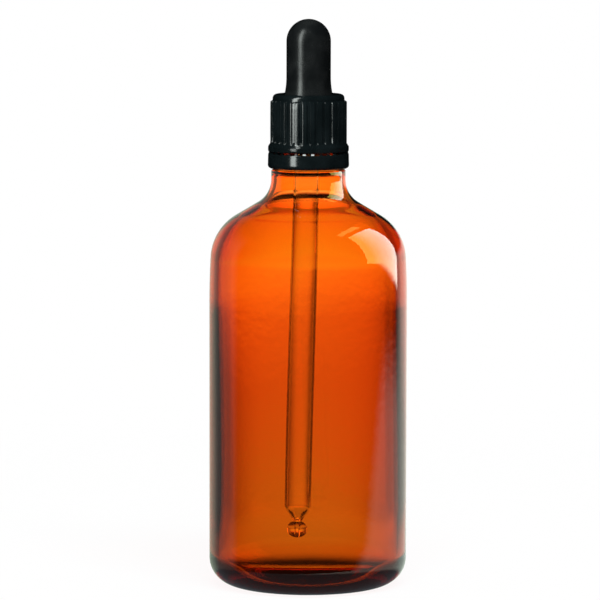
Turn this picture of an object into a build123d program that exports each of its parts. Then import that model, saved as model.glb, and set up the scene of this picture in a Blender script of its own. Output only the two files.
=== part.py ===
from build123d import *
from math import acos, asin, atan2, cos, degrees, radians, sin
import os

os.makedirs("parts", exist_ok=True)

# A 100 ml dropper bottle: blown glass bottle, ribbed screw cap with its tamper ring, rubber teat and
# glass pipette. Millimetres, +Z up, origin at the middle of the surface that the bottle stands on.
# Each piece that fits another takes its radius from that piece, outwards from the neck's bore.

# Bottle: body and base
body_diameter = 46.6
straight_top = 67.3  # height at which the side begins to curve in
heel_radius = 6.4
wall = 2.2  # glass thickness of the body and the shoulder
inside_heel = 6.3  # rounding between the inside wall and the floor
floor_thickness = 2.2  # in the middle
floor_crown = 1.04  # rise of the floor's middle above its edge
push_up = 0.35  # rise of the hollow under the base
bearing_width = 1.2  # flat ring that the bottle stands on

# Bottle: shoulder, from the side inwards a long lead-in arc, the shoulder arc, a cone and the neck's fillet
lead_radius = 200.0
lead_angle = 3.0
shoulder_radius = 12.2
shoulder_tilt = 59.3  # turn from the upright side to the cone
neck_fillet = 6.4
# the inside's own arcs; they end in a throat that is wider than the bore above it
inside_shoulder_radius = 13.05
inside_tilt = 58.2
inside_fillet = 9.4
throat_widening = 1.18  # radius of the throat over the bore's
throat_slope = 3.2  # height of the double curve between the two
throat_height = 0.4  # from the neck's root up to the foot of that curve

# Bottle: neck and finish (the part that carries the cap)
neck_bore = 12.6
finish_wall = 1.25
collar_step = 1.2  # the neck stands out this far below the finish
neck_length = 2.31  # straight neck between the fillet and the collar's edge
collar_edge = 0.45
finish_length = 14.8  # from the neck's upper edge to the rim
bead_depth = 0.7  # bead that the tamper ring snaps under
bead_width = 1.2
bead_height = 2.2  # bottom of the bead above the neck's upper edge
rim_edge = 0.45

# Screw cap
cap_height = 13.5
cap_gap = 0.3  # between the finish and the cap's bore
cap_wall = 0.8  # between the ribs
cap_plate = 1.35  # thickness of the top
cap_edge = 1.0  # rounding of the top edge
cap_band = 1.4  # height of the smooth band above the ribs
cap_band_inset = 0.2
cap_foot_height = 1.2  # straight edge at the foot
cap_flare = 1.3  # height of the slope from the ribs out to the foot
rib_count = 30
rib_width = 1.15
rib_depth = 0.36
rib_slope = 0.45  # height of the slope at a rib's upper end

# Tamper ring
ring_clearance = 0.35  # between the bead and the ring
ring_wall = 0.95
ring_edge = 0.7
ring_proud = 0.05  # the ring stands out this far beyond the cap's foot
ring_gap = 0.25  # above the neck's upper edge
lip_clearance = 0.4  # between the finish and the lip under the bead
lip_height = 1.2
slit = 0.45  # between the ring and the cap
bridge_count = 30
bridge_width = 0.7
bridge_depth = 0.5
bridge_clearance = 0.08  # torn bridges stop this far under the cap

# Rubber teat
teat_diameter = 10.44
teat_height = 17.6  # above the cap
teat_wall = 1.25
teat_spread = 0.43  # how far the foot stands out beyond the bulb
teat_flare = 4.2  # height of the flare from foot to bulb
flange_thickness = 1.45
flange_gap = 0.4  # inside the cap's bore
teat_floor = 1.2  # rubber between the flange and the hollow of the bulb
plug_gap = 0.5  # inside the neck's bore
plug_length = 3.6
foot_gap = 0.2  # between the foot and the hole in the cap
seal_gap = 0.05  # flange to rim, and flange to cap

# Glass pipette
pipette_diameter = 6.2
pipette_wall = 0.6
pipette_reach = 102.3  # from the rim down to the tip
pipette_standout = 1.0  # its top, above the floor of the bulb's hollow
pipette_lean = 1.45  # degrees, towards -X going down: the soft teat never holds it quite upright
taper_length = 3.7
waist_diameter = 2.2
ball_diameter = 5.0
ball_height = 4.0
tip_bore = 1.0

# Radii, from the bore of the neck outwards
body_radius = body_diameter / 2
bore_radius = neck_bore / 2
finish_radius = bore_radius + finish_wall
neck_radius = finish_radius + collar_step
bead_radius = finish_radius + bead_depth
cap_bore = finish_radius + cap_gap
cap_root = cap_bore + cap_wall
cap_band_radius = cap_root - cap_band_inset
rib_crest = cap_root + rib_depth
ring_inside = bead_radius + ring_clearance
ring_radius = ring_inside + ring_wall
lip_radius = finish_radius + lip_clearance
cap_foot = ring_radius - ring_proud
flange_radius = cap_bore - flange_gap
plug_radius = bore_radius - plug_gap
teat_radius = teat_diameter / 2
teat_foot = teat_radius + teat_spread
cap_hole = teat_foot + foot_gap

# The shoulder's arcs, outside and inside
lead = radians(lead_angle)
inside_radius = body_radius - wall
outer_arcs = (lead_radius, shoulder_radius, neck_fillet)
inner_arcs = (lead_radius - wall, inside_shoulder_radius, inside_fillet)


def shoulder_turn(tilt, travel, lead_arc, round_arc, fillet_arc):
    """Turn from the side to the cone, less than the tilt where the arcs alone come in by the travel."""
    drop = lead_arc * (1 - cos(lead)) + round_arc * cos(lead) + fillet_arc - travel
    return min(tilt, degrees(acos(drop / (round_arc + fillet_arc))))


def cone_length(travel, turn, lead_arc, round_arc, fillet_arc):
    """Length of the cone between the arcs, so that with this turn they come in by the travel."""
    level = cos(radians(turn))
    arcs = lead_arc * (1 - cos(lead)) + round_arc * (cos(lead) - level) + fillet_arc * (1 - level)
    return (travel - arcs) / sin(radians(turn))


def shoulder_rise(turn, cone, lead_arc, round_arc, fillet_arc):
    """Height of the arcs and the cone."""
    rise = sin(radians(turn))
    arcs = lead_arc * sin(lead) + round_arc * (rise - sin(lead)) + fillet_arc * rise
    return arcs + cone * cos(radians(turn))


def shoulder_line(radius, bottom, turn, cone, lead_arc, round_arc, fillet_arc):
    """Draws the shoulder from the side at this radius and height up to the neck."""
    last = JernArc((radius, bottom), (0, 1), lead_arc, lead_angle)
    last = JernArc(last @ 1, last % 1, round_arc, turn - lead_angle)
    if cone > 0.001:
        last = Line(last @ 1, last @ 1 + (last % 1) * cone)
    return JernArc(last @ 1, last % 1, fillet_arc, -turn)


# Heights, from the base upwards
outer_travel = body_radius - neck_radius
outer_turn = shoulder_turn(shoulder_tilt, outer_travel, *outer_arcs)
outer_cone = cone_length(outer_travel, outer_turn, *outer_arcs)
throat_radius = bore_radius + throat_widening
throat_turn = 2 * degrees(atan2(throat_widening, throat_slope))
throat_arc = throat_slope / (2 * sin(radians(throat_turn)))
inner_travel = inside_radius - throat_radius
inner_turn = shoulder_turn(inside_tilt, inner_travel, *inner_arcs)
inner_cone = cone_length(inner_travel, inner_turn, *inner_arcs)
neck_root = straight_top + shoulder_rise(outer_turn, outer_cone, *outer_arcs)
inside_root = neck_root + throat_height
inside_top = inside_root - shoulder_rise(inner_turn, inner_cone, *inner_arcs)
neck_top = neck_root + neck_length
rim = neck_top + finish_length
flange_bottom = rim + seal_gap
flange_top = flange_bottom + flange_thickness
cap_under = flange_top + seal_gap
cap_top = cap_under + cap_plate
cap_bottom = cap_top - cap_height

# Bottle: one turned section, outside and inside
bearing_outer = body_radius - heel_radius
bearing_inner = bearing_outer - bearing_width
dome_radius = (bearing_inner**2 + push_up**2) / (2 * push_up)
dome_angle = degrees(asin(bearing_inner / dome_radius))
inside_floor = push_up + floor_thickness
crown_edge = inside_radius - inside_heel
crown_radius = (crown_edge**2 + floor_crown**2) / (2 * floor_crown)
crown_angle = degrees(asin(crown_edge / (crown_radius + inside_heel)))
bead_bottom = neck_top + bead_height
bead_top = bead_bottom + bead_width

with BuildPart() as bottle:
    with BuildSketch(Plane.XZ):
        with BuildLine():
            dome = CenterArc((0, push_up - dome_radius), dome_radius, 90 - dome_angle, dome_angle)
            Line(dome @ 0, (bearing_outer, 0))
            heel = JernArc((bearing_outer, 0), (1, 0), heel_radius, 90)
            Line(heel @ 1, (body_radius, straight_top))
            shoulder = shoulder_line(body_radius, straight_top, outer_turn, outer_cone, *outer_arcs)
            Polyline(
                shoulder @ 1,
                (neck_radius, neck_top - collar_edge),
                (neck_radius - collar_edge, neck_top),
                (finish_radius, neck_top),
                (finish_radius, bead_bottom),
                (bead_radius, bead_bottom),
                (bead_radius, bead_top - bead_width / 2),
                (finish_radius, bead_top + bead_width / 2),
                (finish_radius, rim - rim_edge),
                (finish_radius - rim_edge, rim),
                (bore_radius + rim_edge, rim),
                (bore_radius, rim - rim_edge),
                (bore_radius, inside_root + throat_slope),
            )
            throat = shoulder_line(inside_radius, inside_top, inner_turn, inner_cone, *inner_arcs)
            throat = JernArc(throat @ 1, throat % 1, throat_arc, throat_turn)
            JernArc(throat @ 1, throat % 1, throat_arc, -throat_turn)
            crown = CenterArc((0, inside_floor - crown_radius), crown_radius, 90 - crown_angle, crown_angle)
            downwards = (cos(radians(crown_angle)), -sin(radians(crown_angle)))
            corner = JernArc(crown @ 0, downwards, inside_heel, 90 + crown_angle)
            Line(corner @ 1, (inside_radius, inside_top))
            Line(crown @ 1, (0, push_up))
        make_face()
    revolve(axis=Axis.Z)
bottle.part.label = "bottle"
export_step(bottle.part, "parts/bottle.step")

# Screw cap: turned shell with a hole for the teat, and ribs round the skirt
band_bottom = cap_top - cap_band
foot_top = cap_bottom + cap_foot_height
rib_bottom = foot_top + cap_flare
rib_back = cap_bore + cap_wall / 2  # the ribs start inside the wall

with BuildPart() as rib:
    with BuildSketch(Plane.XZ):
        with BuildLine():
            Polyline(
                (rib_back, foot_top),
                (cap_foot, foot_top),
                (rib_crest, rib_bottom),
                (rib_crest, band_bottom - rib_slope),
                (cap_band_radius, band_bottom),
                (rib_back, band_bottom),
                close=True,
            )
        make_face()
    extrude(amount=rib_width / 2, both=True)

with BuildPart() as screw_cap:
    with BuildSketch(Plane.XZ):
        with BuildLine():
            edge = JernArc((cap_band_radius, cap_top - cap_edge), (0, 1), cap_edge, 90)
            Polyline(
                edge @ 1,
                (cap_hole, cap_top),
                (cap_hole, cap_under),
                (cap_bore, cap_under),
                (cap_bore, cap_bottom),
                (cap_foot, cap_bottom),
                (cap_foot, foot_top),
                (cap_root, rib_bottom),
                (cap_root, band_bottom - rib_slope),
                (cap_band_radius, band_bottom),
                edge @ 0,
            )
        make_face()
    revolve(axis=Axis.Z)
    with PolarLocations(0, rib_count):
        add(rib.part)
screw_cap.part.label = "screw_cap"
export_step(screw_cap.part, "parts/screw_cap.step")

# Tamper ring: a band with a lip under the bead, and the torn bridges on its upper edge
ring_bottom = neck_top + ring_gap
ring_top = cap_bottom - slit
lip_top = ring_bottom + lip_height

with BuildPart() as tamper_ring:
    with BuildSketch(Plane.XZ):
        with BuildLine():
            Polyline(
                (lip_radius, ring_bottom),
                (ring_radius - ring_edge, ring_bottom),
                (ring_radius, ring_bottom + ring_edge),
                (ring_radius, ring_top),
                (ring_inside, ring_top),
                (ring_inside, lip_top + ring_inside - lip_radius),
                (lip_radius, lip_top),
                close=True,
            )
        make_face()
    revolve(axis=Axis.Z)
    with BuildSketch(Plane.XY.offset(ring_top)):
        with PolarLocations(ring_inside + ring_wall / 2, bridge_count):
            Rectangle(bridge_depth, bridge_width)
    extrude(amount=slit - bridge_clearance)
tamper_ring.part.label = "tamper_ring"
export_step(tamper_ring.part, "parts/tamper_ring.step")

# The pipette's own axis: it goes through the middle of the rim and leans as it goes down
lean = radians(pipette_lean)
seat = (0, 0, rim)
pipette_axis = Axis(seat, (sin(lean), 0, cos(lean)))
pipette_side = Plane(origin=seat, x_dir=(cos(lean), 0, -sin(lean)), z_dir=(0, -1, 0))
pipette_across = Plane(origin=seat, x_dir=(0, 1, 0), z_dir=pipette_axis.direction)
pipette_radius = pipette_diameter / 2

# Rubber teat: bulb, flange and plug turned as one, hollow above the flange, bored for the pipette
teat_top = cap_top + teat_height
bulb_centre = teat_top - teat_radius
flare_top = cap_top + teat_flare
hollow_radius = teat_radius - teat_wall
hollow_floor = flange_top + teat_floor
plug_bottom = flange_bottom - plug_length

with BuildPart() as rubber_teat:
    with BuildSketch(Plane.XZ):
        with BuildLine():
            dome = CenterArc((0, bulb_centre), teat_radius, 0, 90)
            Line(dome @ 0, (teat_radius, flare_top))
            Spline(
                (teat_radius, flare_top),
                (teat_foot, cap_top),
                tangents=((0, -1), (0.25, -1)),
            )
            Polyline(
                (teat_foot, cap_top),
                (teat_foot, flange_top),
                (flange_radius, flange_top),
                (flange_radius, flange_bottom),
                (plug_radius, flange_bottom),
                (plug_radius, plug_bottom),
                (0, plug_bottom),
                dome @ 1,
            )
        make_face()
    revolve(axis=Axis.Z)
    with BuildSketch(Plane.XZ):
        with BuildLine():
            hollow = CenterArc((0, bulb_centre), hollow_radius, 0, 90)
            Polyline(hollow @ 0, (hollow_radius, hollow_floor), (0, hollow_floor), hollow @ 1)
        make_face()
    revolve(axis=Axis.Z, mode=Mode.SUBTRACT)
    with BuildSketch(pipette_across):
        Circle(pipette_radius)
    extrude(amount=hollow_floor + pipette_standout - rim, mode=Mode.SUBTRACT)
    with BuildSketch(pipette_across):
        Circle(pipette_radius)
    extrude(amount=-2 * plug_length, mode=Mode.SUBTRACT)
rubber_teat.part.label = "rubber_teat"
export_step(rubber_teat.part, "parts/rubber_teat.step")

# Glass pipette, along its own axis from the rim: straight tube, drawn waist, pressed ball at the tip
ball_radius = ball_diameter / 2
ball_rise = ball_height / 2
ball_centre = ball_rise - pipette_reach
waist_radius = waist_diameter / 2
tip_radius = tip_bore / 2
waist_angle = asin(waist_radius / ball_radius)
hole_angle = asin(tip_radius / ball_radius)
waist_level = ball_centre + ball_rise * cos(waist_angle)
taper_top = waist_level + taper_length
tube_top = hollow_floor + pipette_standout - rim
inner_radius = pipette_radius - pipette_wall

with BuildPart() as glass_pipette:
    with BuildSketch(pipette_side):
        with BuildLine():
            ball = EllipticalCenterArc(
                (0, ball_centre),
                ball_radius,
                ball_rise,
                start_angle=degrees(hole_angle) - 90,
                arc_size=180 - degrees(hole_angle) - degrees(waist_angle),
            )
            Spline(ball @ 1, (pipette_radius, taper_top), tangents=((0.2, 1), (0, 1)))
            Polyline(
                (pipette_radius, taper_top),
                (pipette_radius, tube_top),
                (inner_radius, tube_top),
                (inner_radius, taper_top),
            )
            Spline(
                (inner_radius, taper_top),
                (tip_radius, waist_level),
                tangents=((0, -1), (-0.1, -1)),
            )
            Line((tip_radius, waist_level), ball @ 0)
        make_face()
    revolve(axis=pipette_axis)
glass_pipette.part.label = "glass_pipette"
export_step(glass_pipette.part, "parts/glass_pipette.step")

print(f"neck root {neck_root:.2f}, rim {rim:.2f}, cap top {cap_top:.2f}, teat top {teat_top:.2f}")
print(f"pipette tip {rim - pipette_reach * cos(lean):.2f}, inside of the shoulder {inside_top:.2f}")
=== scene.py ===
from math import asin, atan2, cos, degrees, pi, radians, sin

import bpy
import numpy as np
from mathutils import Matrix, Vector


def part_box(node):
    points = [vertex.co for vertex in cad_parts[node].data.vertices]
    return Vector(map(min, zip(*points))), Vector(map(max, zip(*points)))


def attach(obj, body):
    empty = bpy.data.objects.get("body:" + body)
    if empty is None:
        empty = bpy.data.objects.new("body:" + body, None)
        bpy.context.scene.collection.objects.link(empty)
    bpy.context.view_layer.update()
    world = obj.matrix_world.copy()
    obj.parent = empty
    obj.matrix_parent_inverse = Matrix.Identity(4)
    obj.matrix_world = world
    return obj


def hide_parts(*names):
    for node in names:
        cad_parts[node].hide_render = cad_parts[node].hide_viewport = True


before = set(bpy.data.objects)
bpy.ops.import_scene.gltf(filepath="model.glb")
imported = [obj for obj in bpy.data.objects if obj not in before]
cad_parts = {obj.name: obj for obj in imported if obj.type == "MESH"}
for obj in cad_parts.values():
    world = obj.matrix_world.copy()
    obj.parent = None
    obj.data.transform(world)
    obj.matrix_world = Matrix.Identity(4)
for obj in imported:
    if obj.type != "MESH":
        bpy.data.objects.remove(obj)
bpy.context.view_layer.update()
mm = 0.001  # shapes are worked out in millimetres, and their meshes are in metres
scene = bpy.context.scene
scene.view_settings.view_transform = "Standard"
print("frame loaded:", ", ".join(sorted(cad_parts)))


# Shapes: a piece is a grid of points, whole arrays at a time

def boxOf(node):
    # a CAD node's lowest and highest corner, in millimetres
    low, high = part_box(node)
    return np.array(low) / mm, np.array(high) / mm


def line(start, end, count):
    # evenly spaced points from start to end, both among them
    return np.linspace(start, end, count)


def arc(centre, radius, first, last, count):
    # centre + radius * (cos a, sin a), a from first to last in degrees; a pair of radii makes an ellipse
    turn = np.radians(np.linspace(first, last, count))
    return np.array(centre) + np.array(radius) * np.column_stack([np.cos(turn), np.sin(turn)])


def joined(*runs):
    # the runs end to end, without the points that two runs share
    points = np.vstack(runs)
    gap = np.linalg.norm(np.diff(points, axis=0), axis=1)
    return points[np.concatenate([[True], gap > 1e-5])]


def at(value, level):
    # which points lie at this radius or height
    return np.abs(value - level) < 0.005


def ease(value, low, high):
    # 0 at low, 1 at high, with a smooth rise between them
    share = np.clip((value - low) / (high - low), 0, 1)
    return share * share * (3 - 2 * share)


def spread(section, columns):
    # the section repeated round the axis: one grid each of radius, height and angle
    angle = np.linspace(0, 2 * pi, columns, endpoint=False)[None, :]
    return section[:, :1] + 0 * angle, section[:, 1:] + 0 * angle, angle + 0 * section[:, :1]


def turned(radius, height, angle):
    # a point at this radius, height and angle is (r cos a, r sin a, h)
    return np.stack([radius * np.cos(angle), radius * np.sin(angle), height], axis=-1)


def fromNearest(angle, count, radius):
    # how far along the rim, at this radius, a point lies from the nearest of so many evenly spaced marks
    return np.abs((angle * count / (2 * pi) + 0.5) % 1 - 0.5) * 2 * pi * radius / count


def threadRise(height, angle, foot, thread):
    # How far a thread stands up: its middle climbs one pitch each turn from the foot, its sides fall off
    # over the slope beyond half its width, and both ends fade out over a tenth of a turn.
    turn = np.round((height - foot) / thread["pitch"] - angle / (2 * pi))
    middle = turn + angle / (2 * pi)
    away = np.abs(height - foot - thread["pitch"] * middle)
    ends = ease(middle, 0, 0.1) * (1 - ease(middle, thread["turns"] - 0.1, thread["turns"]))
    return thread["height"] * ease(thread["half"] + thread["slope"] - away, 0, thread["slope"]) * ends


def placed(name, points, faces):
    # a mesh of these points, which are in millimetres, in an object at the origin
    mesh = bpy.data.meshes.new(name)
    mesh.from_pydata((points.reshape(-1, 3) * mm).tolist(), [], faces)
    made = bpy.data.objects.new(name, mesh)
    scene.collection.objects.link(made)
    return made


def skin(name, points, ring):
    # Four neighbours on the grid make a face, and the columns close on themselves. With ring the rows do
    # too; without it the first and last rows are single points on the axis, closed by triangles.
    rows, columns = points.shape[:2]
    if ring:
        index = np.arange(rows * columns).reshape(rows, columns)
        index = np.vstack([index, index[:1]])
    else:
        points = np.vstack([points[0, :1], points[1:-1].reshape(-1, 3), points[-1, :1]])
        inner = 1 + np.arange((rows - 2) * columns).reshape(rows - 2, columns)
        index = np.vstack([np.zeros((1, columns), int), inner, np.full((1, columns), len(points) - 1)])
    after = np.roll(index, -1, axis=1)
    faces = np.stack([index[:-1], after[:-1], after[1:], index[1:]], axis=-1)
    if ring:
        faces = faces.reshape(-1, 4).tolist()
    else:
        ends = faces[0][:, [0, 2, 3]].tolist() + faces[-1][:, [0, 1, 2]].tolist()
        faces = faces[1:-1].reshape(-1, 4).tolist() + ends
    piece = placed(name, points, faces)
    piece.data.polygons.foreach_set("use_smooth", np.ones(len(faces), bool))
    piece.data.set_sharp_from_angle(angle=radians(32))
    return piece


def disc(name, radii, height, columns):
    # a flat disc that faces up: rings of points at these radii, with one face inside the first ring
    section = np.column_stack([radii, np.full(len(radii), height)])
    index = np.arange(len(radii) * columns).reshape(-1, columns)
    after = np.roll(index, -1, axis=1)
    faces = np.stack([index[:-1], index[1:], after[1:], after[:-1]], axis=-1).reshape(-1, 4).tolist()
    return placed(name, turned(*spread(section, columns)), faces + [index[0].tolist()])


def fitted(piece, node, body, material):
    # the piece stands for its CAD node and moves with the body
    piece.data.materials.append(material)
    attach(piece, body)
    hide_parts(node)
    print(f"{piece.name}: {len(piece.data.polygons)} faces")
    return piece


# Shaders

class Wire:
    # a node's output that Python's operators work on: each operation adds one Math node
    def __init__(self, graph, socket):
        self.graph = graph
        self.socket = socket

    def beside(self, name):
        # another output of the same node
        return Wire(self.graph, self.socket.node.outputs[name])

    def __add__(self, other):
        return self.graph.maths("ADD", self, other)

    def __sub__(self, other):
        return self.graph.maths("SUBTRACT", self, other)

    def __rsub__(self, other):
        return self.graph.maths("SUBTRACT", other, self)

    def __mul__(self, other):
        return self.graph.maths("MULTIPLY", self, other)

    def __truediv__(self, other):
        return self.graph.maths("DIVIDE", self, other)

    def __rtruediv__(self, other):
        return self.graph.maths("DIVIDE", other, self)

    def __pow__(self, other):
        return self.graph.maths("POWER", self, other)

    def __rpow__(self, other):
        return self.graph.maths("POWER", other, self)

    def __abs__(self):
        return self.graph.maths("ABSOLUTE", self)

    __radd__ = __add__
    __rmul__ = __mul__


class Graph:
    def __init__(self, owner):
        owner.use_nodes = True
        self.tree = owner.node_tree
        self.tree.nodes.clear()

    def node(self, kind, settings=None, sockets=None, output=0):
        # a node of this kind: its settings first, then the values or links of its sockets
        made = self.tree.nodes.new("ShaderNode" + kind)
        for name, value in (settings or {}).items():
            if name == "stops":
                fillRamp(made.color_ramp, value)
            else:
                setattr(made, name, value)
        for name, value in (sockets or {}).items():
            socket = made.inputs[name]
            if isinstance(value, Wire):
                self.tree.links.new(value.socket, socket)
            else:
                socket.default_value = (*value, 1) if socket.type == "RGBA" else value
        return Wire(self, made.outputs[output] if len(made.outputs) else None)

    def maths(self, operation, first, second=0.0):
        return self.node("Math", {"operation": operation}, {0: first, 1: second})

    def rise(self, value, low, high):
        # 0 at low, 1 at high, with a smooth rise between them
        sockets = {"Value": value, "From Min": low, "From Max": high}
        return self.node("MapRange", {"interpolation_type": "SMOOTHSTEP"}, sockets)

    def ramp(self, value, stops):
        return self.node("ValToRGB", {"stops": stops}, {"Fac": value})

    def mixed(self, share, first, second, blend="MIX"):
        # the first colour where share is 0, the second, or the blend of both, where it is 1
        settings = {"data_type": "RGBA", "blend_type": blend}
        return self.node("Mix", settings, {0: share, 6: first, 7: second}, 2)

    def either(self, share, first, second):
        # the first shader where share is 0, the second where it is 1
        return self.node("MixShader", None, {0: share, 1: first, 2: second})

    def place(self):
        return self.node("TexCoord", output="Object")

    def x(self, vector):
        # the vector's x; its y and z are beside it
        return self.node("SeparateXYZ", None, {"Vector": vector}, "X")

    def length(self, vector):
        return self.node("VectorMath", {"operation": "LENGTH"}, {0: vector}, "Value")

    def dot(self, first, second):
        return self.node("VectorMath", {"operation": "DOT_PRODUCT"}, {0: first, 1: second}, "Value")

    def noise(self, place, scale, detail=2.0):
        return self.node("TexNoise", None, {"Vector": place, "Scale": scale, "Detail": detail})

    def bump(self, height, strength, distance):
        return self.node("Bump", None, {"Height": height, "Strength": strength, "Distance": distance})

    def shown(self, surface, volume=None):
        sockets = {"Surface": surface, "Volume": volume} if volume else {"Surface": surface}
        self.node("OutputMaterial", None, sockets)


def fillRamp(ramp, stops):
    while len(ramp.elements) < len(stops):
        ramp.elements.new(0.5)
    for element, (place, colour) in zip(ramp.elements, stops):
        element.position = place
        element.color = (*colour, 1) if np.ndim(colour) else (colour, colour, colour, 1)


def newMaterial(name):
    material = bpy.data.materials.new(name)
    return material, Graph(material)


def unseenBy(thing, *rays):
    for kind in rays:
        setattr(thing, "visible_" + kind, False)


# Camera

camera = {
    "distance": 1.07,
    "height": 0.180,
    "aside": -0.00193,  # left of the bottle's axis
    "pitch": 6.0,  # degrees down
    "roll": 0.10,
    "lens": 273.6,
    "sensor": 36,
}


def makeCamera(size):
    data = bpy.data.cameras.new("camera")
    data.lens = size["lens"]
    data.sensor_width = size["sensor"]
    view = bpy.data.objects.new("camera", data)
    scene.collection.objects.link(view)
    place = Matrix.Translation((size["aside"], -size["distance"], size["height"]))
    tilt = Matrix.Rotation(radians(90 - size["pitch"]), 4, "X")
    view.matrix_world = place @ tilt @ Matrix.Rotation(radians(size["roll"]), 4, "Z")
    scene.camera = view


makeCamera(camera)
print("camera made")


# Amber bottle

bottleHigh = boxOf("bottle")[1]
bottle = {
    "radius": bottleHigh[0],
    "rim": bottleHigh[2],
    "straightTop": 67.3,
    "heel": 6.4,
    "wall": 2.2,
    "insideHeel": 6.3,
    "floor": 2.2,
    "floorCrown": 1.04,  # rise of the floor's middle above its edge
    "pushUp": 0.35,
    "bearing": 1.2,
    "leadRadius": 200.0,
    "leadAngle": 3.0,
    "shoulderRadius": 12.2,
    "shoulderTilt": 59.3,  # turn from the upright side to the cone
    "neckFillet": 6.4,
    "insideShoulderRadius": 13.05,
    "insideTilt": 58.2,
    "insideFillet": 9.4,
    "throat": 7.48,  # radius of the neck's inside, below the bore
    "throatSlope": 3.2,  # height of the double curve between the two
    "throatHeight": 0.4,  # from the neck's root up to the foot of that curve
    "bore": 6.3,
    "neckRadius": 8.75,
    "neckLength": 2.31,
    "collarEdge": 0.45,
    "finishFillet": 0.3,
    "finishRadius": 7.15,  # at the root of the thread
    "beadRadius": 8.25,
    "beadHeight": 2.2,
    "beadWidth": 1.2,
    "beadEdge": 0.25,
    "beadFoot": 0.1,  # the chamfer under the bead
    "rimEdge": 0.4,
    "thread": {"height": 0.4, "pitch": 3.2, "turns": 2.0, "half": 0.35, "slope": 0.45},
    "threadFoot": 1.2,  # its start above the bead
    "threadClear": (0.3, 0.6),  # left smooth above the bead and below the rim
    "ripple": 0.05,  # unevenness of the inside wall, in these waves:
    "waves": [(1.0, 3, 19, 0), (0.7, 5, -26, 2), (0.5, 1, 11, 0)],  # share, number round, length up, shift
    "rippleFoot": (8, 20),  # grows between these heights
    "rippleHead": (18, 8),  # and dies away between these depths below the neck
    "stipple": 0.12,  # depth of the grip marks in the bearing ring
    "stippleCount": 72,
    "stippleEdge": (0.1, 0.7),
    "stippleFade": 0.3,
    "columns": 216,
}


def shoulderParts(travel, tilt, leadAngle, lead, bend, fillet):
    # the turn to the cone, the cone's length and the whole height of a shoulder that comes in by the travel
    turn = radians(tilt)
    arcs = lead * (1 - cos(leadAngle)) + bend * (cos(leadAngle) - cos(turn)) + fillet * (1 - cos(turn))
    cone = (travel - arcs) / sin(turn)
    rise = lead * sin(leadAngle) + bend * (sin(turn) - sin(leadAngle)) + fillet * sin(turn)
    return turn, cone, rise + cone * cos(turn)


def shoulderLine(radius, bottom, turn, cone, leadAngle, lead, bend, fillet):
    # the lead-in arc, the shoulder's bend, the cone and the neck's fillet, from the side up to the neck
    first = arc((radius - lead, bottom), lead, 0, degrees(leadAngle), 7)
    centre = first[-1] - bend * np.array([cos(leadAngle), sin(leadAngle)])
    second = arc(centre, bend, degrees(leadAngle), degrees(turn), 40)
    slope = line(second[-1], second[-1] + cone * np.array([-sin(turn), cos(turn)]), 6)
    centre = slope[-1] + fillet * np.array([cos(turn), sin(turn)])
    third = arc(centre, fillet, degrees(turn) + 180, 180, 28)
    return joined(first, second, slope, third)


def outsideLine(size):
    # from the middle of the base out and up to the rim; also the heights of the neck's root and bead's top
    radius, neck, finish, rim = size["radius"], size["neckRadius"], size["finishRadius"], size["rim"]
    arcs = (radians(size["leadAngle"]), size["leadRadius"], size["shoulderRadius"], size["neckFillet"])
    turn, cone, rise = shoulderParts(radius - neck, size["shoulderTilt"], *arcs)
    neckRoot = size["straightTop"] + rise
    neckTop = neckRoot + size["neckLength"]
    bead = neckTop + size["beadHeight"]
    beadTop = bead + size["beadWidth"]
    half = size["beadWidth"] / 2
    collar, fillet = size["collarEdge"], size["finishFillet"]
    beadEdge, edge = size["beadEdge"], size["rimEdge"]
    bearingOut = radius - size["heel"]
    bearingIn = bearingOut - size["bearing"]
    pushUpRadius = (bearingIn**2 + size["pushUp"] ** 2) / (2 * size["pushUp"])
    pushUpAngle = degrees(asin(bearingIn / pushUpRadius))
    section = joined(
        arc((0, size["pushUp"] - pushUpRadius), pushUpRadius, 90, 90 - pushUpAngle, 14),
        line((bearingIn, 0), (bearingOut, 0), 7),
        arc((bearingOut, size["heel"]), size["heel"], -90, 0, 30),
        line((radius, size["heel"]), (radius, size["straightTop"]), 12),
        shoulderLine(radius, size["straightTop"], turn, cone, *arcs),
        line((neck, neckRoot), (neck, neckTop - collar), 3),
        arc((neck - collar, neckTop - collar), collar, 0, 90, 5),
        arc((finish + fillet, neckTop + fillet), fillet, -90, -180, 5),
        line((finish, neckTop + fillet), (finish, bead - size["beadFoot"]), 3),
        arc((size["beadRadius"] - beadEdge, bead + beadEdge), beadEdge, -90, 0, 5),
        arc((size["beadRadius"] - half, bead + half), half, 0, 70, 6),
        line((finish, beadTop + beadEdge), (finish, rim - edge), 64),
        arc((finish - edge, rim - edge), edge, 0, 90, 6),
        arc((size["bore"] + edge, rim - edge), edge, 90, 180, 6),
    )
    return section, neckRoot, beadTop


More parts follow.
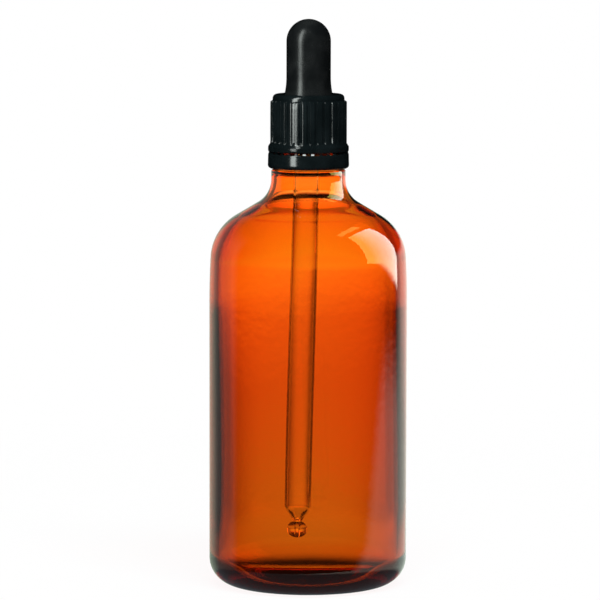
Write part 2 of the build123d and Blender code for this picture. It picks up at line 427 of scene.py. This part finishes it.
def insideLine(size, neckRoot):
    # from the rim down the bore, throat, shoulder and side to the middle of the floor
    throat, bore, slope = size["throat"], size["bore"], size["throatSlope"]
    side = size["radius"] - size["wall"]
    lead = size["leadRadius"] - size["wall"]
    arcs = (radians(size["leadAngle"]), lead, size["insideShoulderRadius"], size["insideFillet"])
    turn, cone, rise = shoulderParts(side - throat, size["insideTilt"], *arcs)
    root = neckRoot + size["throatHeight"]
    sideTop = root - rise
    bend = 2 * degrees(atan2(throat - bore, slope))
    bendRadius = slope / (2 * sin(radians(bend)))
    heel = size["insideHeel"]
    floorTop = size["pushUp"] + size["floor"]
    crownEdge = side - heel
    crown = (crownEdge**2 + size["floorCrown"] ** 2) / (2 * size["floorCrown"])
    crownTurn = asin(crownEdge / (crown + heel))
    corner = floorTop - crown + (crown + heel) * cos(crownTurn)
    return joined(
        line((bore, size["rim"] - size["rimEdge"]), (bore, root + slope), 8),
        arc((bore + bendRadius, root + slope), bendRadius, 180, 180 + bend, 10),
        arc((throat - bendRadius, root), bendRadius, bend, 0, 10),
        shoulderLine(side, sideTop, turn, cone, *arcs)[::-1],
        line((side, sideTop), (side, corner), 34),
        arc((crownEdge, corner), heel, 0, -90 - degrees(crownTurn), 26),
        arc((0, floorTop - crown), crown, 90 - degrees(crownTurn), 90, 14),
    )


def makeBottle(size):
    # The outside and the inside make one section, which is turned round the axis. The thread and the ripple
    # are added to the radius, and the grip marks to the height.
    outside, neckRoot, beadTop = outsideLine(size)
    section = joined(outside, insideLine(size, neckRoot))
    radius, height, angle = spread(section, size["columns"])
    isInside = (np.arange(len(section)) >= len(outside))[:, None]
    overBead, underRim = size["threadClear"]
    onFinish = ~isInside & (height > beadTop + overBead) & (height < size["rim"] - underRim)
    radius = radius + onFinish * threadRise(height, angle, beadTop + size["threadFoot"], size["thread"])
    # slow waves in the blown inside wall, which die away towards the floor and the neck
    waves = [much * np.sin(count * angle + height / up + shift) for much, count, up, shift in size["waves"]]
    fromNeck = neckRoot - np.array(size["rippleHead"])
    side = isInside * ease(height, *size["rippleFoot"]) * (1 - ease(height, *fromNeck))
    radius = radius + size["ripple"] * side * sum(waves)
    # short bars round the ring that the bottle stands on
    middle = size["radius"] - size["heel"] - size["bearing"] / 2
    onRing = ~isInside & at(height, 0)
    bars = ease(np.cos(angle * size["stippleCount"]), *size["stippleEdge"])
    fade = ease(size["bearing"] / 2 - np.abs(radius - middle), 0, size["stippleFade"])
    height = height + onRing * size["stipple"] * bars * fade
    return skin("bottle_glass", turned(radius, height, angle), ring=False)


amber = {
    "bends": 1.52,  # index of refraction
    "body": (0.985, 0.632, 0.077),  # what its thickness lets through
    "density": 1300.0,
    "shadow": (0.96, 0.95, 0.94),
    "waves": 90,
    "drawn": (1, 1, 0.2),  # the waves are drawn out upwards
    "grain": 500,
    "grainShare": 0.3,
    "bump": (0.05, 0.0004),  # strength, and depth in metres
}


def glassSurface(graph, look, relief):
    # smooth glass with this relief, which lets most light through where it would cast a shadow
    sockets = {
        "Base Color": (1, 1, 1),
        "Roughness": 0.0,
        "IOR": look["bends"],
        "Transmission Weight": 1.0,
        "Normal": graph.bump(relief, *look["bump"]),
    }
    glass = graph.node("BsdfPrincipled", None, sockets)
    clear = graph.node("BsdfTransparent", None, {"Color": look["shadow"]})
    isShadow = graph.node("LightPath", output="Is Shadow Ray")
    return graph.either(isShadow, glass, clear)


def amberGlass(look):
    material, graph = newMaterial("amber glass")
    place = graph.place()
    drawn = graph.node("Mapping", None, {"Vector": place, "Scale": look["drawn"]})
    relief = graph.noise(drawn, look["waves"]) + look["grainShare"] * graph.noise(place, look["grain"])
    body = graph.node("VolumeAbsorption", None, {"Color": look["body"], "Density": look["density"]})
    graph.shown(glassSurface(graph, look, relief), body)
    return material


bottleGlass = fitted(makeBottle(bottle), "bottle", "bottle", amberGlass(amber))


# Glass pipette

pipette = {
    "radius": 3.1,
    "wall": 0.6,
    "reach": 102.3,  # from the rim down to the tip
    "top": boxOf("glass_pipette")[1][2] - bottle["rim"] - 0.1,  # the lean lifts one edge higher
    "lean": 1.45,  # degrees, towards -X going down
    "taper": 3.7,
    "waist": 1.1,
    "waistWall": 0.6,  # the drawn-in inside starts this far above the waist
    "ball": (2.5, 2.0),
    "tipBore": 0.5,
    "mouth": 0.05,  # the inside ends this far above the hole in the ball
    "edge": 0.25,
    "columns": 96,
}


def taperLine(low, high, bottom, length):
    # a smooth widening from one radius to the other over the length
    share = np.linspace(0, 1, 20)
    return np.column_stack([low + (high - low) * ease(share, 0, 1), bottom + length * share])


def makePipette(size, rim):
    # A section along the pipette's own axis, with its height measured from the rim, is turned round that
    # axis and then leant over: x' = x cos l + z sin l, z' = z cos l - x sin l.
    ballRadius, ballRise = size["ball"]
    radius, waist, bore = size["radius"], size["waist"], size["tipBore"]
    top, edge = size["top"], size["edge"]
    centre = ballRise - size["reach"]
    waistAngle = asin(waist / ballRadius)
    holeAngle = asin(bore / ballRadius)
    waistLevel = centre + ballRise * cos(waistAngle)
    boreTop = waistLevel + size["waistWall"]
    taperTop = waistLevel + size["taper"]
    mouth = centre - ballRise * cos(holeAngle) + size["mouth"]
    inner = radius - size["wall"]
    section = joined(
        arc((0, centre), (ballRadius, ballRise), degrees(holeAngle) - 90, 90 - degrees(waistAngle), 30),
        taperLine(waist, radius, waistLevel, size["taper"]),
        line((radius, taperTop), (radius, top - edge), 12),
        arc((radius - edge, top - edge), edge, 0, 90, 4),
        arc((inner + edge, top - edge), edge, 90, 180, 4),
        line((inner, top - edge), (inner, taperTop), 12),
        taperLine(bore, inner, boreTop, taperTop - boreTop)[::-1],
        line((bore, boreTop), (bore, mouth), 6),
    )
    points = turned(*spread(section, size["columns"]))
    lean = radians(size["lean"])
    across = points[..., 0] * cos(lean) + points[..., 2] * sin(lean)
    rise = points[..., 2] * cos(lean) - points[..., 0] * sin(lean)
    return skin("pipette_glass", np.stack([across, points[..., 1], rise + rim], axis=-1), ring=True)


crystal = {"bends": 1.5, "shadow": (0.97, 0.97, 0.97), "waves": 400, "bump": (0.04, 0.0002)}


def clearGlass(look):
    material, graph = newMaterial("clear glass")
    graph.shown(glassSurface(graph, look, graph.noise(graph.place(), look["waves"])))
    return material


fitted(makePipette(pipette, bottle["rim"]), "glass_pipette", "dropper", clearGlass(crystal))


# Screw cap

capLow, capHigh = boxOf("screw_cap")
cap = {
    "bottom": capLow[2],
    "top": capHigh[2],
    "foot": capHigh[0],
    "footEdge": 0.3,
    "bore": 8.05,
    "hole": 5.85,
    "holeEdge": 0.25,
    "root": 8.65,
    "band": 8.45,
    "bandHeight": 1.4,
    "edge": 1.0,
    "plate": 1.35,
    "footHeight": 1.2,
    "flare": 1.3,
    "ribs": 30,
    "ribDepth": 0.36,
    "ribHalf": 0.42,
    "ribSide": 0.2,
    "ribEnd": 0.45,
    "thread": {"height": 0.38, "pitch": 3.2, "turns": 1.8, "half": 0.3, "slope": 0.5},
    "threadFoot": 1.4,  # its start above the cap's foot
    "threadClear": (1.0, 0.6),  # left smooth above the foot and below the plate
    "columns": 600,
}


def makeCap(size):
    # The section is turned round the axis. On the skirt the ribs raise the radius up to their crest, and
    # in the bore the thread lowers it.
    bottom, top, foot, root, band = size["bottom"], size["top"], size["foot"], size["root"], size["band"]
    bore, hole = size["bore"], size["hole"]
    footEdge, holeEdge, edge = size["footEdge"], size["holeEdge"], size["edge"]
    ribTop = top - size["bandHeight"]
    flareFoot = bottom + size["footHeight"]
    flareTop = flareFoot + size["flare"]
    under = top - size["plate"]
    section = joined(
        arc((bore + footEdge, bottom + footEdge), footEdge, 180, 270, 4),
        arc((foot - footEdge, bottom + footEdge), footEdge, -90, 0, 5),
        line((foot, bottom + footEdge), (foot, flareFoot), 4),
        line((foot, flareFoot), (root, flareTop), 8),
        line((root, flareTop), (root, ribTop - size["ribEnd"]), 8),
        line((root, ribTop - size["ribEnd"]), (band, ribTop), 6),
        line((band, ribTop), (band, top - edge), 3),
        arc((band - edge, top - edge), edge, 0, 90, 10),
        arc((hole + holeEdge, top - holeEdge), holeEdge, 90, 180, 4),
        line((hole, top - holeEdge), (hole, under), 3),
        line((hole, under), (bore, under), 4),
        line((bore, under), (bore, bottom + footEdge), 60),
    )[:-1]  # its end is its start again
    radius, height, angle = spread(section, size["columns"])
    away = fromNearest(angle, size["ribs"], root)
    rib = ease(size["ribHalf"] + size["ribSide"] - away, 0, size["ribSide"])
    rib = rib * ease(ribTop - height, 0, size["ribEnd"])
    onSkirt = (radius > bore + footEdge) & (height > flareFoot) & (height < ribTop)
    radius = radius + onSkirt * np.maximum(root + size["ribDepth"] - radius, 0) * rib
    overFoot, underPlate = size["threadClear"]
    inBore = at(radius, bore) & (height < under - underPlate) & (height > bottom + overFoot)
    radius = radius - inBore * threadRise(height, angle, bottom + size["threadFoot"], size["thread"])
    return skin("cap_shell", turned(radius, height, angle), ring=True)


plastic = {
    "bends": 1.49,
    "shine": 0.5,
    "roughness": 0.13,
    "mottled": (160, 0.08),  # scale of the cloudy unevenness, and how much it changes the roughness
    "grained": (2400, 0.03),
    "cloudEnds": (0.35, 0.7),  # the colours go from the first to the second between these
    "colours": ((0.0025, 0.0042, 0.0047), (0.0045, 0.0072, 0.008)),
    "cloudBump": 2.0,
    "bump": (0.05, 0.00008),
}


def blackMoulding(name, look, seed, paintedHighlight=None):
    # black plastic or rubber with cloudy and grained unevenness, and a pale painted highlight where one is
    # given
    material, graph = newMaterial(name)
    place = graph.place()
    moved = graph.node("Mapping", None, {"Vector": place, "Location": (seed, seed, seed)})
    (cloudScale, mottle), (grainScale, rough) = look["mottled"], look["grained"]
    cloud = graph.noise(moved, cloudScale, 3)
    grain = graph.noise(moved, grainScale)
    colour = graph.mixed(graph.rise(cloud, *look["cloudEnds"]), *look["colours"])
    if paintedHighlight:
        # painted highlight: pale on a narrow band in front, above the given height
        x = graph.x(place)
        across = 1 - graph.rise(abs(x), paintedHighlight["half"], paintedHighlight["half"] + paintedHighlight["edge"])
        front = graph.maths("LESS_THAN", x.beside("Y"), 0.0)
        onHighlight = across * front * graph.rise(x.beside("Z"), paintedHighlight["from"], paintedHighlight["from"] + paintedHighlight["edge"] / 2)
        colour = graph.mixed(onHighlight, colour, paintedHighlight["colour"])
    sockets = {
        "Base Color": colour,
        "Roughness": look["roughness"] + mottle * (cloud - 0.5) + rough * grain,
        "IOR": look["bends"],
        "Specular IOR Level": look["shine"],
        "Normal": graph.bump(grain + look["cloudBump"] * cloud, *look["bump"]),
    }
    graph.shown(graph.node("BsdfPrincipled", None, sockets))
    return material


capPlastic = blackMoulding("cap plastic", plastic, 3.1)
capShell = fitted(makeCap(cap), "screw_cap", "cap", capPlastic)


# Tamper ring

ringLow, ringHigh = boxOf("tamper_ring")
ring = {
    "bottom": ringLow[2],
    "top": capLow[2] - 0.45,  # the bridges stand in the gap under the cap
    "radius": ringHigh[0],
    "inside": 8.6,
    "insideEdge": 0.1,
    "lip": 7.95,
    "lipHeight": 1.2,
    "lipEdge": 0.15,
    "edge": 0.7,  # width of the rounded foot
    "footArc": 0.8,
    "wallFoot": 1.0,  # the straight wall starts this far up
    "wallTop": 0.2,  # and ends this far below the top
    "taper": 0.06,
    "topEdge": 0.14,
    "topFall": 0.01,  # the top slopes down outwards by this
    "bridges": 30,
    "bridgeWidth": 0.7,
    "bridgeSide": 0.04,
    "bridgeIn": 8.85,
    "bridgeOut": 9.35,
    "bridgeHeight": 0.37,
    "columns": 600,
}


def makeRing(size):
    # The section is turned round the axis, and where there is a bridge its top is raised between the
    # bridge's inner and outer radius.
    bottom, top, radius = size["bottom"], size["top"], size["radius"]
    inside, insideEdge, lip, lipEdge = size["inside"], size["insideEdge"], size["lip"], size["lipEdge"]
    footArc, topEdge = size["footArc"], size["topEdge"]
    lipTop = bottom + size["lipHeight"]
    section = joined(
        arc((lip + lipEdge, bottom + lipEdge), lipEdge, 180, 270, 3),
        line((lip + lipEdge, bottom), (radius - size["edge"], bottom), 4),
        arc((radius - footArc, bottom + footArc), footArc, -80, -4, 8),
        line((radius, bottom + size["wallFoot"]), (radius - size["taper"], top - size["wallTop"]), 8),
        arc((radius - size["taper"] - topEdge, top - size["topFall"] - topEdge), topEdge, 0, 90, 4),
        line((size["bridgeOut"], top), (size["bridgeIn"], top), 3),
        line((inside + insideEdge, top), (inside, top - insideEdge), 2),
        line((inside, top - 2 * insideEdge), (inside, lipTop + inside - lip), 5),
        line((inside, lipTop + inside - lip), (lip, lipTop), 4),
        line((lip, lipTop), (lip, bottom + lipEdge), 3),
    )[:-1]  # its end is its start again
    grid, height, angle = spread(section, size["columns"])
    away = fromNearest(angle, size["bridges"], radius)
    bridge = ease(size["bridgeWidth"] / 2 - away, -size["bridgeSide"], size["bridgeSide"])
    onTop = at(height, top) & (grid > (inside + size["bridgeIn"]) / 2)
    height = height + onTop * size["bridgeHeight"] * bridge
    return skin("ring_band", turned(grid, height, angle), ring=True)


# painted highlight: the two bridges in front are made pale, as if they caught the light
bridgeHighlight = {"half": 0.0014, "edge": 0.0001, "from": (ring["top"] + 0.03) * mm, "colour": (0.45, 0.48, 0.48)}
ringPlastic = blackMoulding("ring plastic", plastic, 7.7, bridgeHighlight)
ringBand = fitted(makeRing(ring), "tamper_ring", "ring", ringPlastic)


# Rubber teat

teatLow, teatHigh = boxOf("rubber_teat")
teat = {
    "top": teatHigh[2],
    "bottom": teatLow[2],
    "flange": teatHigh[0],
    "radius": 5.22,
    "wall": 1.25,
    "foot": 5.65,
    "flare": 4.2,
    "flarePower": 2.2,
    "flangeBottom": bottle["rim"] + 0.05,
    "flangeHeight": 1.45,
    "hollowFloor": bottle["rim"] + 2.7,
    "plug": 5.8,
    "plugEdge": 0.4,
    "bore": 3.1,
    "columns": 160,
}


def makeTeat(size, capTop, lean):
    # The section is turned round the axis, and the bore leans with the pipette in it. Above the cap the
    # radius comes in from the foot's as 1 - (1 - s)^p.
    radius, foot, bore, bottom = size["radius"], size["foot"], size["bore"], size["bottom"]
    plug, edge, flange, flangeBottom = size["plug"], size["plugEdge"], size["flange"], size["flangeBottom"]
    floorLevel = size["hollowFloor"]
    flangeTop = flangeBottom + size["flangeHeight"]
    centre = size["top"] - radius
    hollow = radius - size["wall"]
    share = np.linspace(0, 1, 16)
    narrowed = (foot - radius) * (1 - (1 - share) ** size["flarePower"])
    section = joined(
        arc((0, centre), hollow, 90, 0, 16),
        line((hollow, centre), (hollow, floorLevel), 6),
        line((hollow, floorLevel), (bore, floorLevel), 2),
        line((bore, floorLevel), (bore, bottom), 6),
        line((bore, bottom), (plug - edge, bottom), 2),
        arc((plug - edge, bottom + edge), edge, -90, 0, 5),
        line((plug, bottom + edge), (plug, flangeBottom), 3),
        line((plug, flangeBottom), (flange, flangeBottom), 2),
        line((flange, flangeBottom), (flange, flangeTop), 2),
        line((flange, flangeTop), (foot, flangeTop), 2),
        line((foot, flangeTop), (foot, capTop), 3),
        np.column_stack([foot - narrowed, capTop + size["flare"] * share]),
        line((radius, capTop + size["flare"]), (radius, centre), 16),
        arc((0, centre), radius, 0, 90, 28),
    )
    grid, height, angle = spread(section, size["columns"])
    points = turned(grid, height, angle)
    points[..., 0] += at(grid, bore) * (height - bottle["rim"]) * sin(radians(lean))
    return skin("teat_bulb", points, ring=False)


rubber = {
    "bends": 1.5,
    "shine": 0.3,
    "roughness": 0.24,
    "mottled": (220, 0.08),
    "grained": (3200, 0.04),
    "cloudEnds": (0.35, 0.7),
    "colours": ((0.0035, 0.0042, 0.0045), (0.008, 0.009, 0.0092)),
    "cloudBump": 1.5,
    "bump": (0.1, 0.0001),
}
teatRubber = blackMoulding("teat rubber", rubber, 0.0)
teatBulb = makeTeat(teat, cap["top"], pipette["lean"])
fitted(teatBulb, "rubber_teat", "dropper", teatRubber)


# Floor

floor = {
    "radius": 0.5,
    "fadeFrom": 0.06,
    "fadeTo": 0.35,
    "colour": (0.95, 0.95, 0.95),
    "glow": 0.92,  # share of plain white that the camera sees in it
}


def makeFloor(size):
    # a disc with its rings closer together near the bottle, which fades into the white round it
    radii = size["radius"] / mm * np.linspace(0, 1, 40)[1:] ** 1.5
    ground = disc("floor", radii, 0, 96)
    material, graph = newMaterial("floor")
    shell = graph.node("BsdfDiffuse", None, {"Color": size["colour"]})
    white = graph.node("Emission", None, {"Color": (1, 1, 1)})
    isCamera = graph.node("LightPath", output="Is Camera Ray")
    shell = graph.either(isCamera * size["glow"], shell, white)
    clear = graph.node("BsdfTransparent", None, {"Color": (1, 1, 1)})
    fade = graph.rise(graph.length(graph.place()), size["fadeFrom"], size["fadeTo"])
    graph.shown(graph.either(fade, shell, clear))
    ground.data.materials.append(material)
    unseenBy(ground, "glossy", "transmission")


makeFloor(floor)
print("floor made")


# Surroundings: white to the camera; what the glass bends into view and what it mirrors is a dim studio

window = {  # a big flat light on the right, down to the table
    "azimuth": 82.5,
    "left": -0.167,
    "right": 1.02,
    "bottom": 0.01,
    "slope": 0.115,  # its foot drops this much for each panel distance towards the back
    "top": 1.36,
    "soft": 0.012,
    "through": (1.8, 1.6, 1.4),
    "colours": [(0.0, (5.0, 4.6, 1.0)), (0.35, (6.5, 6.5, 4.0)), (1.0, (7.0, 7.0, 6.4))],
}
pane = {  # a narrow light above it
    "azimuth": 82.5,
    "left": -0.3,
    "right": 0.9,
    "bottom": 1.66,
    "slope": 0,
    "top": 2.05,
    "soft": 0.03,
    "colour": (3.5, 2.6, 0.5),
}
studio = {
    "lit": 0.35,  # what the world gives to plain surfaces
    "heights": [  # degrees above the horizon, and what stands straight behind the bottle there
        (-40, (0.02, 0.02, 0.02)),
        (-27, (0.3, 0.2, 0.15)),
        (-19, (1.0, 0.7, 0.6)),
        (-15, (1.9, 1.35, 1.0)),
        (-10.5, (1.9, 1.4, 1.0)),
        (-9.5, (1.2, 1.05, 0.8)),
        (-9.0, (0.6, 0.82, 0.55)),
        (-8.4, (0.62, 0.76, 0.55)),
        (-7.8, (0.7, 0.64, 0.55)),
        (-7.2, (0.75, 0.54, 0.5)),
        (-6.6, (0.8, 0.6, 0.5)),
        (-5.9, (1.14, 0.85, 0.7)),
        (-5.1, (1.27, 1.65, 1.1)),
        (-4.6, (1.27, 1.6, 1.1)),
        (-3.0, (1.25, 1.9, 1.1)),
        (-1.2, (1.22, 2.1, 1.1)),
        (1, (1.22, 1.9, 1.1)),
        (6, (1.5, 1.1, 1.0)),
        (9, (0.2, 0.15, 0.12)),
        (13, (0.02, 0.02, 0.02)),
    ],
    "around": [  # and what stands at its other sides
        (-90, (0.02, 0.02, 0.02)),
        (-55, (0.1, 0.1, 0.1)),
        (-35, (0.85, 0.9, 0.85)),
        (-10, (0.95, 1.0, 0.95)),
        (12, (0.95, 1.0, 0.95)),
        (25, (0.1, 0.1, 0.1)),
    ],
    "straightTo": (22, 32),  # the first gives way to the second between these degrees off straight behind
    "sides": [  # degrees to the right of straight behind, and how much of either is left there
        (-180, 0.8),
        (-54, 0.8),
        (-49, 0.002),
        (-30, 0.002),
        (-20, 0.1),
        (-13, 0.26),
        (-7, 0.6),
        (-3, 0.93),
        (0, 1.0),
        (3, 0.97),
        (5, 0.88),
        (8, 0.6),
        (13, 0.22),
        (22, 0.14),
        (32, 0.02),
        (50, 0.02),
        (56, 1.0),
        (180, 1.0),
    ],
    "sidesFrom": (-16, -11),  # the sides start to darken between these heights
    "sidesEase": (-7.2, -4.8),  # and between these they come to darken less, as share ^ 0.25
    "sidesPower": 0.25,
}


def flatPanel(graph, direction, size):
    # For a flat panel that stands square to its azimuth: how far along it and up it a direction points, both
    # in panel distances, and 1 where that is on the panel.
    turn = radians(size["azimuth"])
    facing = graph.dot(direction, (sin(turn), -cos(turn), 0))
    along = graph.dot(direction, (cos(turn), sin(turn), 0)) / facing
    up = graph.dot(direction, (0, 0, 1)) / facing
    soft = size["soft"]
    across = graph.rise(along, size["left"] - soft, size["left"] + soft)
    across = across * (1 - graph.rise(along, size["right"] - soft, size["right"] + soft))
    overFoot = up + size["slope"] * along
    upright = graph.rise(overFoot, size["bottom"] - soft, size["bottom"] + soft)
    upright = upright * (1 - graph.rise(up, size["top"] - soft, size["top"] + soft))
    return along, across * upright * graph.maths("GREATER_THAN", facing, 0.0)


def upShare(height):
    # degrees above the horizon as a share of the way from straight down to straight up
    return height / 180 + 0.5


def turnShare(azimuth):
    # degrees to the right of straight behind as a share of the whole turn
    return azimuth / 360 + 0.5


def makeWorld(size):
    # One ramp of colours runs up straight behind the bottle and another round the rest, and both darken
    # towards the sides. The camera sees white instead, and plain surfaces an even grey.
    world = bpy.data.worlds.new("studio")
    scene.world = world
    graph = Graph(world)
    direction = graph.node("TexCoord", output="Generated")
    x = graph.x(direction)
    height = graph.maths("ARCSINE", x.beside("Z")) * (1 / pi) + 0.5
    side = graph.maths("ARCTAN2", x, x.beside("Y")) * (0.5 / pi) + 0.5
    straight = graph.ramp(height, [(upShare(place), colour) for place, colour in size["heights"]])
    elsewhere = graph.ramp(height, [(upShare(place), colour) for place, colour in size["around"]])
    share = graph.ramp(side, [(turnShare(place), left) for place, left in size["sides"]])
    behind = graph.mixed(graph.rise(abs(side - 0.5) * 360, *size["straightTo"]), straight, elsewhere)
    eased = graph.rise(height, *map(upShare, size["sidesEase"]))
    share = share ** (1 - (1 - size["sidesPower"]) * eased)
    kept = graph.mixed(graph.rise(height, *map(upShare, size["sidesFrom"])), (1, 1, 1), share)
    seen = graph.mixed(1.0, behind, kept, "MULTIPLY")
    seen = graph.mixed(flatPanel(graph, direction, window)[1], seen, window["through"])
    isCamera = graph.node("LightPath", output="Is Camera Ray")
    colour = graph.mixed(isCamera.beside("Is Transmission Ray"), (size["lit"],) * 3, seen)
    colour = graph.mixed(isCamera, colour, (1, 1, 1))
    background = graph.node("Background", None, {"Color": colour, "Strength": 1.0})
    graph.node("OutputWorld", None, {"Surface": background})
    world.cycles_visibility.glossy = False


makeWorld(studio)


# What the bottle's glass mirrors: a far dome that nothing else sees

dome = {
    "radius": 10.0,
    "dim": (0.012, 0.014, 0.014),
    "parts": {  # each grows from the first azimuth to the second, and fades out between its top heights
        "leftWall": {"azimuth": (-88, -102), "top": (18, 42), "slant": 0, "colour": (0.35, 0.3, 0.28)},
        "backLeft": {"azimuth": (-128, -146), "top": (7, 17), "slant": 0, "colour": (0.5, 0.58, 0.46)},
        "table": {"azimuth": (82, 98), "top": (-7.3, -5.9), "slant": 9, "colour": (0.85, 0.8, 0.72)},
        "backRight": {"azimuth": (120, 142), "top": (1, 7), "slant": 0, "colour": (0.9, 1.02, 0.9)},
    },
    "partsFrom": (-26, -18),  # below these heights in degrees there are none
    "slantFrom": -7.2,  # a slanted side turns about this height
    "below": {"height": (-23, -15), "colour": (0.12, 0.16, 0.18)},  # the table, in the heel and the ring
}


def makeDome(size, pieces):
    # latitude rings from pole to pole: (R cos e cos a, R cos e sin a, R sin e)
    lift = np.linspace(-pi / 2, pi / 2, 25)
    section = size["radius"] / mm * np.column_stack([np.cos(lift), np.sin(lift)])
    shell = skin("dome", turned(*spread(section, 48)), ring=False)
    material, graph = newMaterial("dome")
    direction = graph.node("VectorMath", {"operation": "NORMALIZE"}, {0: graph.place()})
    x = graph.x(direction)
    azimuth = graph.maths("ARCTAN2", x, 0 - x.beside("Y")) * (180 / pi)
    height = graph.maths("ARCSINE", x.beside("Z")) * (180 / pi)
    colour = size["dim"]
    for part in size["parts"].values():
        first, full = part["azimuth"]
        side = 1 if full > 0 else -1
        slanted = azimuth * side - part["slant"] * (height - size["slantFrom"])
        mask = graph.rise(slanted, side * first, side * full) * (1 - graph.rise(height, *part["top"]))
        mask = mask * graph.rise(height, *size["partsFrom"])
        colour = graph.mixed(mask, colour, part["colour"])
    below = size["below"]
    colour = graph.mixed(1 - graph.rise(height, *below["height"]), colour, below["colour"])
    along, onWindow = flatPanel(graph, direction, window)
    colour = graph.mixed(onWindow, colour, graph.ramp(along, window["colours"]))
    colour = graph.mixed(flatPanel(graph, direction, pane)[1], colour, pane["colour"])
    graph.shown(graph.node("Emission", None, {"Color": colour, "Strength": 1.0}))
    material.cycles.emission_sampling = "NONE"
    shell.data.materials.append(material)
    unseenBy(shell, "camera", "diffuse", "transmission", "volume_scatter", "shadow")
    onlyFor(shell, pieces)


def onlyFor(light, pieces):
    # the light falls on these pieces alone
    lit = bpy.data.collections.new(light.name + " lights")
    for piece in pieces:
        lit.objects.link(piece)
    light.light_linking.receiver_collection = lit


makeDome(dome, [bottleGlass])
print("surroundings made")


# Lamps: flat panels that stand round the bottle

panels = {
    "strip": {  # tall and narrow, on the left
        "azimuth": -43, "distance": 0.8, "left": -0.12, "right": 0.1, "bottom": 0.05, "top": 1.4,
        "brightness": 12, "colour": (0.92, 1.0, 0.96),
    },
    "front": {
        "azimuth": 25, "distance": 1.0, "left": -0.8, "right": 0.8, "bottom": -0.2, "top": 1.0,
        "brightness": 0.018, "colour": (0.85, 1.0, 1.0),
    },
    "above": {
        "azimuth": 12, "distance": 0.5, "left": -0.3, "right": 0.3, "bottom": 0.6, "top": 1.1,
        "brightness": 17, "colour": (1, 1, 1),
    },
}


def makePanel(name, size):
    # azimuth is measured from the camera's side towards the right; left and right run along the panel
    turn = radians(size["azimuth"])
    out = Vector((sin(turn), -cos(turn), 0))
    along = Vector((cos(turn), sin(turn), 0))
    up = Vector((0, 0, 1))
    centre = out * size["distance"] + along * (size["left"] + size["right"]) / 2
    centre += up * (size["bottom"] + size["top"]) / 2
    lamp = bpy.data.lights.new(name, "AREA")
    lamp.shape = "RECTANGLE"
    lamp.size = size["right"] - size["left"]
    lamp.size_y = size["top"] - size["bottom"]
    lamp.energy = size["brightness"] * pi * lamp.size * lamp.size_y
    lamp.color = size["colour"]
    stand = bpy.data.objects.new(name, lamp)
    scene.collection.objects.link(stand)
    stand.matrix_world = Matrix.Translation(centre) @ Matrix((along, up, out)).transposed().to_4x4()
    unseenBy(stand, "camera", "transmission")
    return stand


for name in ("strip", "front"):
    onlyFor(makePanel(name, panels[name]), [capShell, ringBand, teatBulb])
unseenBy(makePanel("above", panels["above"]), "glossy")
print("lamps made")


# Painted shadow and light of the table under and behind the bottle: a glowing patch which only the glass
# shows

table = {
    "under": 0.0235,  # painted shadow: the table is dark up to this distance from the bottle's axis
    "beside": 0.039,  # and the painted shade only dims it from here on
    "near": 0.09,  # it fades away between these two
    "far": 0.12,
    "laneLeft": (-0.052, -0.016),  # behind the bottle a lane of painted light, which fades sideways between these
    "laneRight": (0.02, 0.085),
    "laneFrom": (-0.01, 0.01),
    "aside": 0.15,  # and beside it, in painted shadow, this share of the light is left
    # colours of the painted shadow and of the painted light
    "paintedShadowColour": (0.012, 0.014, 0.014),
    "paintedLightColour": (0.6, 0.82, 0.6),
}


def makeTableShadowAndLight(size):
    # a glowing disc just under the floor, with the table's shadow and a lit lane painted on it
    patch = disc("table", size["far"] / mm * np.linspace(0, 1, 9)[1:], -0.02, 72)
    material, graph = newMaterial("table")
    place = graph.place()
    away = graph.length(place)
    x = graph.x(place)
    litLane = graph.rise(x, *size["laneLeft"]) * (1 - graph.rise(x, *size["laneRight"]))
    behind = graph.rise(x.beside("Y"), *size["laneFrom"])
    # painted shadow near and behind the bottle, painted light in the lane and further out
    beside = graph.rise(away, size["under"], size["beside"])
    beside = beside * (1 - behind * (1 - litLane) * (1 - size["aside"]))
    lit = graph.node("Emission", None, {"Color": graph.mixed(beside, size["paintedShadowColour"], size["paintedLightColour"])})
    clear = graph.node("BsdfTransparent", None, {"Color": (1, 1, 1)})
    graph.shown(graph.either(graph.rise(away, size["near"], size["far"]), lit, clear))
    patch.data.materials.append(material)
    unseenBy(patch, "camera", "diffuse", "glossy", "shadow")


makeTableShadowAndLight(table)


card = {  # painted orange light: a glowing sheet right behind the neck, which only the glass bends into view
    "behind": 14.5,
    "half": 16.0,
    "bottom": 91.5,
    "top": 113.0,
    "low": (1.7, 0.72, 0.07),
    "high": (1.6, 0.3, 0.02),
}


def makeNeckGlow(size):
    # a sheet that glows orange, painted light that turns redder towards the top
    corners = [(-1, "bottom"), (1, "bottom"), (1, "top"), (-1, "top")]
    points = np.array([(side * size["half"], size["behind"], size[end]) for side, end in corners])
    sheet = placed("card", points, [(0, 1, 2, 3)])
    material, graph = newMaterial("card")
    height = graph.x(graph.place()).beside("Z")
    upward = graph.rise(height, size["bottom"] * mm, size["top"] * mm)
    colour = graph.mixed(upward, size["low"], size["high"])
    graph.shown(graph.node("Emission", None, {"Color": colour}))
    material.cycles.emission_sampling = "NONE"
    sheet.data.materials.append(material)
    unseenBy(sheet, "camera", "diffuse", "glossy", "shadow")


makeNeckGlow(card)
print("table and card made")
